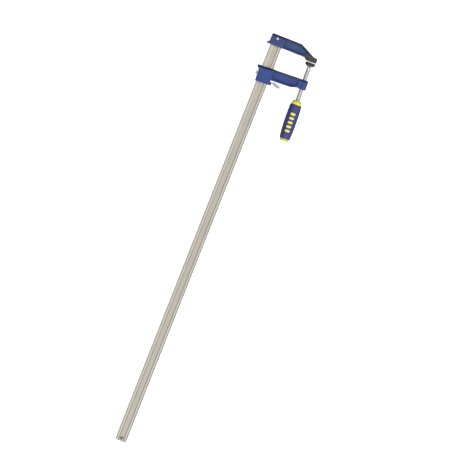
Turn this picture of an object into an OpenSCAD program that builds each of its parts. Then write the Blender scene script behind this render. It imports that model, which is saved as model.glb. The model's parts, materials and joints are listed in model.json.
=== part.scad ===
// F clamp, lying on its side: +X towards the screw, +Y towards the fixed jaw, +Z up.
// The origin is the centre of the hang hole, half way through the bar's thickness.

/* [Bar] */
// Width of the bar, across its two raised edges
bar_w = 27; // [24:0.5:33]
// Thickness of the bar at its raised edges
bar_t = 8; // [6:0.5:10]
// Length of the bar
bar_len = 1031.5; // [500:0.5:1300]
// Width of each raised edge
bar_edge_w = 6.3; // [4:0.1:8]
// Depth of the rolled groove on each face
bar_groove = 1.2; // [0.6:0.1:2]

/* [Fixed jaw] */
// Thickness of the block that holds the bar
jaw_block_t = 22; // [20:0.5:30]
// Width of the jaw's flanges
jaw_flange_t = 17; // [16:0.5:19]
// Thickness of the web between the flanges
jaw_web_t = 7; // [5:0.5:10]
// Height of the flanges, top and bottom
jaw_flange_h = 3.6; // [2.5:0.1:5]
// Depth of the jaw, from its underside to its top
jaw_depth = 26.5; // [24:0.5:34]
// Reach of the jaw's tip from the bar's centreline
jaw_reach = 100.4; // [95:0.5:115]
// Radius of the hollow pin that fixes the jaw
pin_r = 4; // [3.5:0.1:4.5]
// Radius of the hole through the hollow pin
hang_r = 2.7; // [2:0.1:3]

/* [Fixed pad] */
// Thickness of the pad under the jaw's tip
sole = 4.4; // [3:0.1:7]
// Thickness of the pad's wall round the tip
boot_wall = 2.5; // [1.5:0.1:4]

/* [Sliding arm] */
// Lean of the loose arm on the bar, in degrees
arm_lean = 2.4; // [0.5:0.1:3]
// Height of the arm's block
block_h = 38.2; // [36:0.2:46]
// Thickness of the arm's block
block_t = 26; // [25:0.5:32]
// Width of the arm's flanges
arm_flange_t = 16; // [14:0.5:19]
// Thickness of the arm's web
arm_web_t = 7; // [5:0.5:9]
// Depth of the arm beside the block
arm_depth = 26.4; // [25:0.2:28]
// Throat, from the bar's edge to the screw's axis
throat = 79.8; // [76:0.2:90]
// Diameter of the threaded boss
boss_d = 19.4; // [17:0.2:24]

/* [Clutch] */
// Number of clutch discs
discs = 4; // [2:1:4]
// Thickness of one clutch disc
disc_t = 1.2; // [0.8:0.1:1.3]
// Thickness of the release lever's plate
lever_t = 2.4; // [1.6:0.1:2.6]
// Thickness of the release lever's finger pad
lever_tip_t = 7; // [4:0.2:8]
// Tilt of the clutch at rest, in degrees
clutch_tilt = 15; // [13:0.5:16]
// Turn of the clutch from gripping to free, in degrees
clutch_turn = 10; // [6:0.5:10]

/* [Screw and handle] */
// Outside diameter of the screw's thread
screw_d = 10.5; // [9:0.1:12]
// Thread pitch
screw_pitch = 3; // [1.5:0.5:4]
// Bare screw between the boss and the handle
screw_bare = 28.2; // [20:0.2:40]
// Travel of the screw away from the fixed jaw
screw_travel = 30; // [15:1:30]
// Length of the grip
grip_len = 84; // [76:1:120]
// Radius of the grip at its collar end
grip_r_top = 13.85; // [13:0.05:18]
// Radius of the grip at its far end
grip_r_end = 12.8; // [12:0.1:16]
// Swell of the grip in between
grip_belly = 1.44; // [0.5:0.02:3]
// Length of the collar
collar_len = 10.2; // [7:0.2:14]

/* [Swivel pad] */
// Diameter of the swivel pad's face
pad_d = 24.4; // [22:0.2:28]
// Radius of the ball on the end of the screw
ball_r = 4.4; // [4:0.1:4.6]
// Gap between the two pads with the clamp nearly shut
pad_gap = 2; // [2:0.1:12]

/* [Hidden] */
$fn = 64;

// the hang hole's place, from the bar's centreline and a line across the jaw;
// everything is drawn about those lines, and moved so that the hole is at the origin
hole = [-2.4, 1];

// clearances
slide_gap = 0.3;        // between the sliding pieces and the bar
run_gap = 0.06;         // radial, between a shaft or ball and its bore
far = 60;               // longer than any cut needs to be

// bar
bar_top = 9.6;
bar_end = bar_top - bar_len;
groove_half = bar_w / 2 - bar_edge_w;
groove_slope = 0.5;     // half the width of the groove's sloping side
pin_slot = 1.2;
pin_chamfer = 0.5;
stop_r = 3.2;
stop_proud = 3;
stop_inset = 7;
stop_y = bar_end + stop_inset;

// fixed jaw
jaw_top = 10.1;
jaw_under = jaw_top - jaw_depth;
jaw_back = -(bar_w / 2 + 5);
jaw_lip = 6;
jaw_front = bar_w / 2 + 2;
jaw_shoulder = jaw_front + 40.2;
jaw_slope = 0.4945;     // fall of the jaw's nose for each unit of reach
nose_start = jaw_reach - 19.9;
function nose_y(x, drop = 0) = jaw_top - drop - jaw_slope * (x - jaw_shoulder);
boot_proud = 2.5;
boot_t = jaw_flange_t + 1;
core_t = boot_t - 2 * boot_wall;
boot_heel = nose_start - 9;
boot_face = jaw_under - sole;
nose_drop = 2.45;

// sliding arm, in its own frame: origin on the bar's centreline
arm_y = jaw_under - 72;
block_top = 18.2;
block_floor = block_top - block_h;
block_back = -(bar_w / 2 + 4);
block_front = bar_w / 2 + 3.8;
block_toe = block_front + 4.3;
arm_under = block_top - arm_depth;
screw_x = bar_w / 2 + throat;
boss_bottom = arm_under + 3.3;
boss_r = boss_d / 2;
flange_h = 4.4;
passage_half = bar_w / 2 / cos(arm_lean) - block_floor * tan(arm_lean) + slide_gap;
cavity_half = bar_t / 2 + 5.6;
cavity_floor = block_floor + 3.8;

// clutch, about the block's nose
nose = [bar_w / 2 + 2, arm_under + 2.2];
clutch_half = cavity_half - 0.6;
lever_n = -discs * disc_t;
clutch_back = -(nose[0] - block_back) / cos(clutch_tilt) - 3.8;
disc_front = 1.2;
lever_reach = 27;
lever_half = 6;
spring_x = -bar_w / 2 + 4.5;
spring_r = 2.2;
spring_wire = 0.7;
spring_z = bar_t / 2 + 0.7 + spring_r;
spring_seat = 1;

// screw, ball and pads, along the screw's axis
screw_r = screw_d / 2;
ball_face = ball_r + 2.6;
ball_y = boot_face - pad_gap - ball_face;
ball_v = (ball_y - arm_y - screw_x * sin(arm_lean)) / cos(arm_lean);
neck_r = 2.6;
stem_len = 6;
shoulder = ball_r + 0.3;
retainer_r = ball_r + 1.1;
retainer_front = 1;
retainer_back = 2.7;
cup_front = ball_r + 0.9;
cup_back = 2.9;
cup_wall = 1.7;
pad_r = pad_d / 2;
handle_top = boss_bottom - screw_bare;
grip_top = handle_top - collar_len;
grip_bottom = grip_top - grip_len;
cap_len = 6.3;
core_r = grip_r_end - 2.4;
collar_r = grip_r_top - 2.6;
screw_end = grip_bottom + 4;
bars = 5;
bar_pitch = 10.4;
bar_across = 12.4;
bar_along = 6;
bar_sink = 0.35;
bars_mid = grip_top - 0.52 * grip_len;

// ---- helpers ----
function turned(v, a) = [v[0] * cos(a) - v[1] * sin(a), v[0] * sin(a) + v[1] * cos(a)];

// The arc that rounds corner b, between its neighbours a and c
function corner(a, b, c, r, n) =
    let (u = (a - b) / norm(a - b), w = (c - b) / norm(c - b),
         half = acos(u * w) / 2,
         mid = b + (u + w) / norm(u + w) * r / sin(half),
         start = b + u * r / tan(half) - mid,
         side = sign(cross(u, w)))
    [for (i = [0:n]) mid + turned(start, -side * (180 - 2 * half) * i / n)];

// A closed outline of [x, y, corner radius], with its corners rounded
function rounded(p, n = 5) =
    [for (i = [0:len(p) - 1])
        let (a = p[(i + len(p) - 1) % len(p)], b = p[i], c = p[(i + 1) % len(p)])
        each b[2] > 0 ? corner([a[0], a[1]], [b[0], b[1]], [c[0], c[1]], b[2], n)
                      : [[b[0], b[1]]]];

// An outline made into a slab centred on the clamp's middle plane
module slab(outline, t) {
    linear_extrude(t, center = true) polygon(rounded(outline));
}

// A pocket cut into both faces, down to a web
module pockets(outline, web) {
    for (side = [-1, 1])
        translate([0, 0, side * (web + far) / 2]) slab(outline, far);
}

// Into the arm's own frame
module on_arm() {
    translate([0, arm_y, 0]) rotate([0, 0, arm_lean]) children();
}

// Onto the screw's axis: local +Z points towards the fixed jaw, 0 is the height v
module on_screw(v = 0) {
    on_arm() translate([screw_x, v, 0]) rotate([-90, 0, 0]) children();
}

// Into the clutch's frame: origin at the nose, +X along the discs
module on_clutch() {
    on_arm() translate([nose[0], nose[1], 0]) rotate([0, 0, -clutch_tilt]) children();
}

// ---- bar ----
function bar_side(s) =
    [[s * bar_w / 2, -s * bar_t / 2], [s * bar_w / 2, s * bar_t / 2],
     [s * (groove_half + groove_slope), s * bar_t / 2],
     [s * (groove_half - groove_slope), s * (bar_t / 2 - bar_groove)],
     [-s * (groove_half - groove_slope), s * (bar_t / 2 - bar_groove)],
     [-s * (groove_half + groove_slope), s * bar_t / 2]];

module bar() {
    color("#d0c8be") difference() {
        translate([0, bar_top, 0]) rotate([90, 0, 0]) linear_extrude(bar_len)
            polygon(concat(bar_side(1), bar_side(-1)));
        translate(hole) cylinder(r = pin_r, h = far, center = true);
        translate([0, stop_y, 0]) cylinder(r = stop_r, h = far, center = true);
    }
}

module stop_pin() {
    stop_len = bar_t + 2 * stop_proud;
    color("#a8a49c") translate([0, stop_y, 0]) union() {
        cylinder(r = stop_r, h = stop_len - 2 * pin_chamfer, center = true);
        for (side = [0, 1]) mirror([0, 0, side])
            translate([0, 0, stop_len / 2 - pin_chamfer])
                cylinder(r1 = stop_r, r2 = stop_r - pin_chamfer, h = pin_chamfer);
    }
}

// ---- fixed jaw ----
jaw_block = [[jaw_back, jaw_top, 1.5], [jaw_front + 1, jaw_top, 0], [jaw_front + 1, jaw_under, 0],
             [jaw_back - jaw_lip + 0.5, jaw_under, 1.2], [jaw_back - jaw_lip, jaw_under + 3.2, 1.2],
             [jaw_back, jaw_under + 7, 3]];
jaw_arm = [[0, jaw_top, 0], [jaw_shoulder, jaw_top, 8], [nose_start, nose_y(nose_start), 0],
           [boot_heel, jaw_under, 0], [0, jaw_under, 0]];
jaw_core = [[boot_heel - 5, jaw_under, 0], [jaw_reach, jaw_under, 1.5],
            [jaw_reach, nose_y(nose_start + 11, nose_drop) - 1.1, 2],
            [nose_start + 11, nose_y(nose_start + 11, nose_drop), 4],
            [boot_heel - 5, nose_y(boot_heel - 5, nose_drop), 0]];
jaw_pocket = [[jaw_front + 1.5, jaw_under + jaw_flange_h, 2.5],
              [boot_heel - 2, jaw_under + jaw_flange_h, 2.5],
              [nose_start - 5.5, nose_y(nose_start - 5.5, 4), 2.5],
              [jaw_shoulder - 1, nose_y(jaw_shoulder - 1, 4), 6],
              [jaw_front + 1.5, jaw_top - jaw_flange_h, 2.5]];

module fixed_jaw() {
    color("#48548c") difference() {
        union() {
            slab(jaw_block, jaw_block_t);
            slab(jaw_arm, jaw_flange_t);
            slab(jaw_core, core_t);
        }
        pockets(jaw_pocket, jaw_web_t);
        cube([bar_w, far, bar_t], center = true);
        translate(hole) cylinder(r = pin_r, h = far, center = true);
    }
}

module jaw_pin() {
    color("#c8c8c8") translate(hole) difference() {
        cylinder(r = pin_r, h = jaw_block_t, center = true);
        cylinder(r = hang_r, h = far, center = true);
        translate([-far / 2, 0, 0]) cube([far, pin_slot, far], center = true);
    }
}

boot = [[boot_heel, jaw_under, 0], [boot_heel + 6, boot_face, 3],
        [jaw_reach + boot_proud, boot_face, 2],
        [jaw_reach + boot_proud, nose_y(nose_start + 12) - 1.3, 2.5],
        [nose_start + 12, nose_y(nose_start + 12), 5], [nose_start, nose_y(nose_start), 0]];

module fixed_pad() {
    color("#2c2c2e") difference() {
        slab(boot, boot_t);
        slab(jaw_core, core_t);
    }
}

// ---- sliding arm ----
block = [[block_back, block_floor, 2], [block_toe, block_floor, 1.5],
         [block_toe, block_floor + 4.5, 1.5], [block_front, block_floor + 7, 1],
         [block_front, block_top, 0], [block_back - 5.5, block_top, 1.2],
         [block_back - 5.5, block_top - 5, 1.5], [block_back, block_top - 9.5, 3]];
arm_outline = [[0, block_top, 0], [screw_x, block_top, 0], [screw_x, boss_bottom, 0],
               [screw_x - 11.5, arm_under + 4.4, 3], [screw_x - 31.5, arm_under - 1.5, 8],
               [block_front, arm_under, 0], [0, arm_under, 0]];
arm_pocket = [[block_front + 3, block_top - flange_h, 3],
              [block_front + 3, arm_under + flange_h, 3],
              [screw_x - 32, arm_under + flange_h - 1.5, 8],
              [screw_x - boss_r - 3.5, arm_under + flange_h + 4, 3],
              [screw_x - boss_r - 3.5, block_top - flange_h, 3]];
// the window for the clutch runs right through the block, parallel to the discs above,
// and passes under the arm
window_rise = tan(clutch_tilt);
window = [[nose[0], nose[1] + 0.35, 0], [block_front, nose[1] + 0.35, 0],
          [block_front, arm_under, 0], [block_toe + far, arm_under - 0.1, 0],
          [block_toe + far, cavity_floor, 0], [block_back - far, cavity_floor, 0],
          [block_back - far, nose[1] + 0.35 + window_rise * (nose[0] - block_back + far), 0]];

module sliding_arm() {
    color("#3f60a8") on_arm() difference() {
        union() {
            slab(block, block_t);
            difference() {
                slab(arm_outline, arm_flange_t);
                pockets(arm_pocket, arm_web_t);
            }
            translate([screw_x, boss_bottom, 0]) rotate([-90, 0, 0])
                cylinder(r = boss_r, h = block_top - boss_bottom);
        }
        // the cast hole for the bar is wider than the bar, which lets the arm lean
        cube([2 * passage_half, 2 * far, bar_t + 2 * slide_gap], center = true);
        linear_extrude(2 * cavity_half, center = true) polygon(rounded(window));
        for (side = [-1, 1])
            translate([spring_x, cavity_floor - spring_seat, side * spring_z])
                rotate([-90, 0, 0]) cylinder(r = spring_r + 0.3, h = far / 2);
        translate([screw_x, 0, 0]) rotate([90, 0, 0])
            cylinder(r = screw_r + run_gap, h = 2 * far, center = true);
    }
}

// ---- clutch ----
// Where an edge of the bar lies along a disc whose faces are n0 and n1 below the nose
bar_nose = turned(nose, arm_lean);
function along(edge, n, tilt) = (edge - bar_nose[0] - n * sin(tilt)) / cos(tilt);
function bar_spans(edge, n0, n1) =
    [for (n = [n0, n1], turn = [0, clutch_turn])
        along(edge, n, clutch_tilt - arm_lean - turn)];

// One flat plate of the clutch, with its slot for the bar
module clutch_plate(n0, n1, front, half) {
    slot_l = min(bar_spans(-bar_w / 2 - slide_gap, n0, n1));
    slot_r = max(bar_spans(bar_w / 2 + slide_gap, n0, n1));
    difference() {
        translate([clutch_back, n1, -half]) cube([front - clutch_back, n0 - n1, 2 * half]);
        translate([slot_l, n1 - 1, -bar_t / 2 - slide_gap])
            cube([slot_r - slot_l, n0 - n1 + 2, bar_t + 2 * slide_gap]);
    }
}

module clutch_disc(i) {
    if (i <= discs) color("#9a9a98") on_clutch()
        clutch_plate(-(i - 1) * disc_t, -i * disc_t, disc_front, clutch_half);
}
module clutch_disc_1() { clutch_disc(1); }
module clutch_disc_2() { clutch_disc(2); }
module clutch_disc_3() { clutch_disc(3); }
module clutch_disc_4() { clutch_disc(4); }

// Side view of the lever beyond the block: a neck that swells into the finger pad
tip_n = lever_n - lever_t / 2;
lever_side = [[0, lever_n, 0], [5, lever_n, 8],
              [lever_reach - 15, tip_n + lever_tip_t / 2, 8],
              [lever_reach, tip_n + lever_tip_t / 2 - 1, 2.6],
              [lever_reach, tip_n - lever_tip_t / 2 + 0.6, 2.6],
              [lever_reach - 10, tip_n - lever_tip_t / 2, 10],
              [8, lever_n - lever_t, 12], [0, lever_n - lever_t, 0]];

module release_lever() {
    color("#b4b0aa") on_clutch() union() {
        clutch_plate(lever_n, lever_n - lever_t, disc_front, clutch_half);
        slab(lever_side, 2 * lever_half);
    }
}

module clutch_springs() {
    // the spring meets the sloping underside of the lever at its own back edge
    bottom = cavity_floor - spring_seat;
    edge_x = spring_x + spring_r - nose[0];
    under = nose[1] + (lever_n - lever_t) / cos(clutch_tilt) - edge_x * window_rise;
    color("#8c8c8c") on_arm() for (side = [-1, 1])
        translate([spring_x, bottom, side * spring_z]) rotate([-90, 0, 0]) difference() {
            cylinder(r = spring_r, h = under - bottom - 0.3);
            translate([0, 0, -1]) cylinder(r = spring_r - spring_wire, h = far);
        }
}

// ---- screw and handle ----
module screw() {
    len = ball_v - shoulder - screw_end;
    color("#c4c2bc") on_screw(screw_end) difference() {
        union() {
            cylinder(r = screw_r, h = len - pin_chamfer);
            translate([0, 0, len - pin_chamfer])
                cylinder(r1 = screw_r, r2 = screw_r - pin_chamfer, h = pin_chamfer);
        }
        translate([0, 0, len - stem_len - 0.3]) cylinder(r = neck_r, h = far);
    }
}

// Outside of the grip, t from 0 at the collar to 1 at the far end
function grip_r(t) =
    grip_r_top + (grip_r_end - grip_r_top) * t + grip_belly * sin(180 * t);
grip_steps = 14;
grip_round = 1.2;

module grip_body(inset) {
    translate([0, 0, grip_bottom]) rotate_extrude() polygon(concat(
        [[0, 0], [grip_r_end - grip_round - inset, 0]],
        [for (i = [grip_steps:-1:0])
            let (z = grip_round + (grip_len - 2 * grip_round) * (1 - i / grip_steps))
            [grip_r(1 - z / grip_len) - inset, z]],
        [[grip_r_top - grip_round - inset, grip_len], [0, grip_len]]));
}

// Round-ended bars on two sides of the grip
module marks() {
    for (side = [-1, 1], i = [0:bars - 1]) {
        at = bars_mid + (i - (bars - 1) / 2) * bar_pitch;
        translate([0, -side * far / 2, at]) rotate([90, 0, 0]) linear_extrude(far, center = true)
            union() {
                square([bar_across - bar_along, bar_along], center = true);
                for (end = [-1, 1]) translate([end * (bar_across - bar_along) / 2, 0])
                    circle(r = bar_along / 2);
            }
    }
}

module handle_core() {
    color("#e2dc3c") on_screw() difference() {
        union() {
            translate([0, 0, grip_bottom]) cylinder(r = core_r, h = grip_len);
            intersection() {
                grip_body(bar_sink);
                marks();
            }
        }
        cylinder(r = screw_r, h = 2 * (far + grip_len) + 2 * far, center = true);
    }
}

module handle_collar() {
    color("#ece23a") on_screw(grip_top) difference() {
        union() {
            cylinder(r1 = collar_r + 0.8, r2 = collar_r, h = collar_len / 2);
            translate([0, 0, collar_len / 2])
                cylinder(r = collar_r, h = collar_len / 2 - 1.2);
            translate([0, 0, collar_len - 1.2])
                cylinder(r1 = collar_r, r2 = collar_r - 1.2, h = 1.2);
        }
        cylinder(r = screw_r, h = far, center = true);
    }
}

module handle_grip() {
    color("#3a3c72") on_screw() difference() {
        grip_body(0);
        translate([0, 0, grip_bottom - 1]) cylinder(r = core_r, h = grip_len + 2);
        marks();
    }
}

module handle_cap() {
    color("#d8d65c") on_screw(grip_bottom) mirror([0, 0, 1]) union() {
        cylinder(r1 = grip_r_end - 1.5, r2 = grip_r_end - 2.2, h = cap_len - 2);
        translate([0, 0, cap_len - 2])
            cylinder(r1 = grip_r_end - 2.2, r2 = grip_r_end - 4.4, h = 2);
    }
}

// ---- ball and swivel pad ----
module ball_tip() {
    color("#b8b6b0") on_screw(ball_v) union() {
        sphere(r = ball_r);
        translate([0, 0, -shoulder - stem_len]) cylinder(r = neck_r - run_gap, h = shoulder + stem_len);
    }
}

// A ring on the back of the ball, which stays on the screw's axis when the pad tilts
module pad_retainer() {
    color("#77787a") on_screw(ball_v) difference() {
        intersection() {
            sphere(r = retainer_r);
            translate([0, 0, -retainer_back])
                cylinder(r = far, h = retainer_back - retainer_front);
        }
        sphere(r = ball_r + run_gap);
    }
}

module swivel_pad() {
    color("#303032") on_screw(ball_v) difference() {
        union() {
            translate([0, 0, -cup_back])
                cylinder(r1 = retainer_r + cup_wall, r2 = pad_r - 1.8, h = cup_back + 1.6);
            translate([0, 0, -1.3]) cylinder(r = pad_r - 1.8, h = cup_front + 1.3);
        }
        sphere(r = ball_r + run_gap);
        intersection() {
            sphere(r = retainer_r + run_gap);
            translate([0, 0, -far]) cylinder(r = far, h = far);
        }
    }
}

module pad_cover() {
    rim = 1.4;
    color("#28282a") on_screw(ball_v) difference() {
        union() {
            translate([0, 0, 0.4]) cylinder(r = pad_r, h = ball_face - rim - 0.4);
            translate([0, 0, ball_face - rim]) cylinder(r1 = pad_r, r2 = pad_r - rim, h = rim);
        }
        translate([0, 0, -far + cup_front]) cylinder(r = pad_r - 1.8, h = far);
    }
}

// The hang hole's centre becomes the origin
module placed() { translate([-hole[0], -hole[1], 0]) children(); }

placed() bar();
placed() stop_pin();
placed() fixed_jaw();
placed() jaw_pin();
placed() fixed_pad();
placed() sliding_arm();
placed() clutch_disc_1();
placed() clutch_disc_2();
placed() clutch_disc_3();
placed() clutch_disc_4();
placed() release_lever();
placed() clutch_springs();
placed() screw();
placed() handle_core();
placed() handle_collar();
placed() handle_grip();
placed() handle_cap();
placed() ball_tip();
placed() pad_retainer();
placed() swivel_pad();
placed() pad_cover();
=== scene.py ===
"""The looks of a long F clamp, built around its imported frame.

Metres; +X to the screw, +Y to the fixed jaw, +Z up.
"""

import json
import math

import bmesh
import bpy
import numpy as np
from bpy.props import FloatProperty, FloatVectorProperty, IntProperty, PointerProperty
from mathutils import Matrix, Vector


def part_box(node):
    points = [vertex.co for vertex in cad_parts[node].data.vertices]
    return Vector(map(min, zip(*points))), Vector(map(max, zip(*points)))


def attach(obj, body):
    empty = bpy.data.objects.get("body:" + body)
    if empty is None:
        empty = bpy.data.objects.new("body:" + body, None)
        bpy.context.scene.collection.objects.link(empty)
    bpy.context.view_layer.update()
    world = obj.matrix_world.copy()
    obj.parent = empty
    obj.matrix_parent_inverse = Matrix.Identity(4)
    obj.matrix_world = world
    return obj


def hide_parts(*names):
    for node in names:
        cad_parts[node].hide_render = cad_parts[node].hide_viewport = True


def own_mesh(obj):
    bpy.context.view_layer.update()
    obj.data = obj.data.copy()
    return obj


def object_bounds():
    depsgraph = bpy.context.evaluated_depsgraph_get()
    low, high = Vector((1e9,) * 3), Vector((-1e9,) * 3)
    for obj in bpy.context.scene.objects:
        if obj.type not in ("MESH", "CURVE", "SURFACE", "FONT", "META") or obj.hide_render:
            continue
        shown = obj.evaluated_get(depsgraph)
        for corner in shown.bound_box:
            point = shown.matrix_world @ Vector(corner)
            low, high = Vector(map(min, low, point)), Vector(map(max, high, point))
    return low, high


bl_info = {
    "name": "F clamp maker",
    "version": (1, 0, 0),
    "blender": (4, 5, 0),
    "location": "View3D > Sidebar > F clamp",
    "description": "Builds the bar, castings, clutch, screw, handle and pads of an F clamp on its frame",
    "category": "Add Mesh",
}

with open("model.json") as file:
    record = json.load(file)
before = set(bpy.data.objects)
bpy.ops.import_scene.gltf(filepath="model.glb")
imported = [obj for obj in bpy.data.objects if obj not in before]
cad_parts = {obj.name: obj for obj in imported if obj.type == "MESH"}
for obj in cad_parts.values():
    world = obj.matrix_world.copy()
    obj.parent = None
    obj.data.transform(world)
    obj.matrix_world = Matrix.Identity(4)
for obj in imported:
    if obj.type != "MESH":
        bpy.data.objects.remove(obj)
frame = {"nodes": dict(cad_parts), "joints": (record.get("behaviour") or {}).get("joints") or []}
CAD_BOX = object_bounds()
MM = 0.001
JOINTS = {j["name"]: j for j in frame["joints"]}


# ---- the frame's own places


def read(items, name, width=3, kind=float):
    """One property of every item in a collection, as an array with a row for each item."""
    flat = np.empty(len(items) * width, kind)
    items.foreach_get(name, flat)
    return flat.reshape(-1, width)


def box(node):
    """The lowest and the highest corner of a CAD node, as arrays."""
    return [np.array(c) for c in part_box(node)]


def node_points(node):
    """The corners of a CAD node's mesh."""
    return read(frame["nodes"][node].data.vertices, "co")


BALL = np.array(JOINTS["screw_turn"]["pos_m"])
UP = -np.array(JOINTS["screw_turn"]["axis"], float)
UP = UP / np.linalg.norm(UP)
RIGHT = np.cross(UP, (0.0, 0.0, 1.0))
BACK = np.cross(UP, RIGHT)
LEAN = math.atan2(RIGHT[1], RIGHT[0])


def span(node):
    """Lowest and highest height of a CAD node along the screw's axis, measured from the ball's centre."""
    heights = (node_points(node) - BALL) @ UP
    return heights.min(), heights.max()


def reach(node):
    """Largest distance of a CAD node from the screw's axis."""
    away = node_points(node) - BALL
    return np.linalg.norm(away - np.outer(away @ UP, UP), axis=1).max()


def on_axis(local):
    """Points given as x, y and height about the screw's axis, put in the clamp's frame."""
    return BALL + local[..., :1] * RIGHT + local[..., 1:2] * BACK + local[..., 2:] * UP


# ---- surfaces worked out as arrays


def ease(low, high, x):
    """The cubic 3t^2 - 2t^3 of how far x lies between low and high."""
    t = np.clip((x - low) / (high - low), 0.0, 1.0)
    return t * t * (3 - 2 * t)


def fillet(points, radii, steps=5, closed=True):
    """An outline whose corners are arcs, which touch both sides r / tan(half the angle) from the corner."""
    points = np.asarray(points, float)
    out = []
    for i, (b, r) in enumerate(zip(points, radii)):
        if r <= 0 or (not closed and i in (0, len(points) - 1)):
            out.append(b[None])
            continue
        a, c = points[i - 1], points[(i + 1) % len(points)]
        u, w = (a - b) / np.linalg.norm(a - b), (c - b) / np.linalg.norm(c - b)
        half = math.acos(np.clip(u @ w, -1, 1)) / 2
        mid = b + (u + w) / np.linalg.norm(u + w) * r / math.sin(half)
        start = b + u * r / math.tan(half) - mid
        turn = -np.sign(u[0] * w[1] - u[1] * w[0]) * (math.pi - 2 * half)
        angle = np.linspace(0, turn, steps + 1)[:, None]
        across = np.array([-start[1], start[0]])
        out.append(mid + np.cos(angle) * start + np.sin(angle) * across)
    return np.concatenate(out)


def inset(loop, depth):
    """A closed outline moved inwards: each point goes along the mean normal of its two sides."""
    ahead = np.roll(loop, -1, 0) - np.roll(loop, 1, 0)
    ahead /= np.linalg.norm(ahead, axis=1)[:, None]
    return loop + depth * np.stack([-ahead[:, 1], ahead[:, 0]], 1)


def quads(rows, cols, wrap_rows=False, wrap_cols=True):
    """The four corner numbers of each face of a grid of points, rows by columns."""
    r = np.arange(rows if wrap_rows else rows - 1)[:, None]
    c = np.arange(cols if wrap_cols else cols - 1)[None, :]
    r2, c2 = (r + 1) % rows, (c + 1) % cols
    corners = [r * cols + c, r * cols + c2, r2 * cols + c2, r2 * cols + c]
    return np.stack([x.ravel() for x in corners], 1)


def lathe(profile, steps, swell=None):
    """A profile of (radius, height) turned about the axis: x = r cos a, y = r sin a. A radius of 0 is a pole.

    swell(a, h, r) may return a new radius for each angle and height.
    """
    profile = np.asarray(profile, float)
    open_ends = profile[0, 0] < 1e-9 and profile[-1, 0] < 1e-9
    rings = profile[1:-1] if open_ends else profile
    angle = np.linspace(0, 2 * math.pi, steps, endpoint=False)[None, :]
    radius = np.repeat(rings[:, :1], steps, 1)
    height = np.repeat(rings[:, 1:], steps, 1)
    if swell:
        radius = swell(angle, height, radius)
    grid = np.stack([radius * np.cos(angle), radius * np.sin(angle), height], -1)
    points = grid.reshape(-1, 3)
    faces = [quads(len(rings), steps, wrap_rows=not open_ends)]
    if open_ends:
        ring = np.arange(steps)
        last = (len(rings) - 1) * steps
        poles = np.array([[0, 0, profile[0, 1]], [0, 0, profile[-1, 1]]])
        first_pole, last_pole = len(points), len(points) + 1
        points = np.concatenate([points, poles])
        nxt = (ring + 1) % steps
        faces.append(np.stack([np.full(steps, first_pole), nxt, ring], 1))
        faces.append(np.stack([np.full(steps, last_pole), last + ring, last + nxt], 1))
    return points, [f for part in faces for f in part.tolist()]


def make_mesh(name, points, faces):
    """A mesh from arrays, with its faces turned outwards and shaded smooth."""
    mesh = bpy.data.meshes.new(name)
    mesh.from_pydata(np.asarray(points).tolist(), [], [list(f) for f in faces])
    shape = bmesh.new()
    shape.from_mesh(mesh)
    bmesh.ops.remove_doubles(shape, verts=shape.verts, dist=1e-7)
    bmesh.ops.recalc_face_normals(shape, faces=shape.faces)
    shape.to_mesh(mesh)
    shape.free()
    mesh.polygons.foreach_set("use_smooth", np.ones(len(mesh.polygons), bool))
    return mesh


def keep_values(mesh, name, values):
    """Puts one value for each corner on a mesh, for its finish to read."""
    layer = mesh.attributes.new(name, "FLOAT", "POINT")
    layer.data.foreach_set("value", values)


def link(name, mesh):
    """A new object that holds a mesh, at the origin."""
    piece = bpy.data.objects.new(name, mesh)
    bpy.context.scene.collection.objects.link(piece)
    return piece


def sharpen(mesh, degrees):
    """Marks the edges that turn more than an angle as sharp, so that flat faces shade flat."""
    mesh.set_sharp_from_angle(angle=math.radians(degrees))


def settle(name, mesh, body, node, finish):
    """Makes a mesh a piece on its body, in the place of a CAD node, with its finish."""
    mesh.materials.clear()
    mesh.materials.append(finish)
    piece = link(name, mesh)
    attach(piece, body)
    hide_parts(node)
    return piece


def baked(piece, name):
    """The mesh of a piece with its modifiers applied; the piece itself is removed."""
    bpy.context.view_layer.update()
    graph = bpy.context.evaluated_depsgraph_get()
    mesh = bpy.data.meshes.new_from_object(piece.evaluated_get(graph))
    bpy.data.objects.remove(piece)
    mesh.name = name
    return mesh


def combined(name, mesh, other, operation):
    """A mesh after an exact boolean with another one."""
    piece, tool = link(name, mesh), link("tool", other)
    both = piece.modifiers.new("both", "BOOLEAN")
    both.operation, both.object, both.solver = operation, tool, "EXACT"
    mesh = baked(piece, name)
    bpy.data.objects.remove(tool)
    return mesh


def swept(rings):
    """The skin over a row of closed sections, with a cap at each end."""
    rows, cols = len(rings), len(rings[0])
    caps = [list(range(cols)), list(range((rows - 1) * cols, rows * cols))]
    return np.concatenate(rings), quads(rows, cols).tolist() + caps


def turned(name, profile, steps, swell=None, degrees=50):
    """A mesh turned about the screw's axis, its edges sharp past an angle."""
    points, faces = lathe(profile, steps, swell)
    mesh = make_mesh(name, on_axis(points), faces)
    sharpen(mesh, degrees)
    return mesh


def bulge(mesh, rounds=3, gain=8.0):
    """Keeps as "worn" how far each corner stands out from its neighbours along its normal, smoothed: + on
    edges, - in hollows."""
    points, normals = read(mesh.vertices, "co"), read(mesh.vertices, "normal")
    ends = read(mesh.edges, "vertices", 2, int)
    both = np.concatenate([ends, ends[:, ::-1]])
    degree = np.maximum(np.bincount(both[:, 0], minlength=len(points)), 1)

    def around(values):
        """The mean of each corner's neighbours."""
        return np.bincount(both[:, 0], values[both[:, 1]], minlength=len(points)) / degree

    mean = np.stack([around(points[:, k]) for k in range(3)], 1)
    size = np.linalg.norm(points[ends[:, 0]] - points[ends[:, 1]], axis=1).mean()
    rubbed_and_shaded = ((points - mean) * normals).sum(1) / size
    for _ in range(rounds):
        rubbed_and_shaded = 0.5 * rubbed_and_shaded + 0.5 * around(rubbed_and_shaded)
    keep_values(mesh, "rubbed_and_shaded", rubbed_and_shaded * gain)


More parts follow.
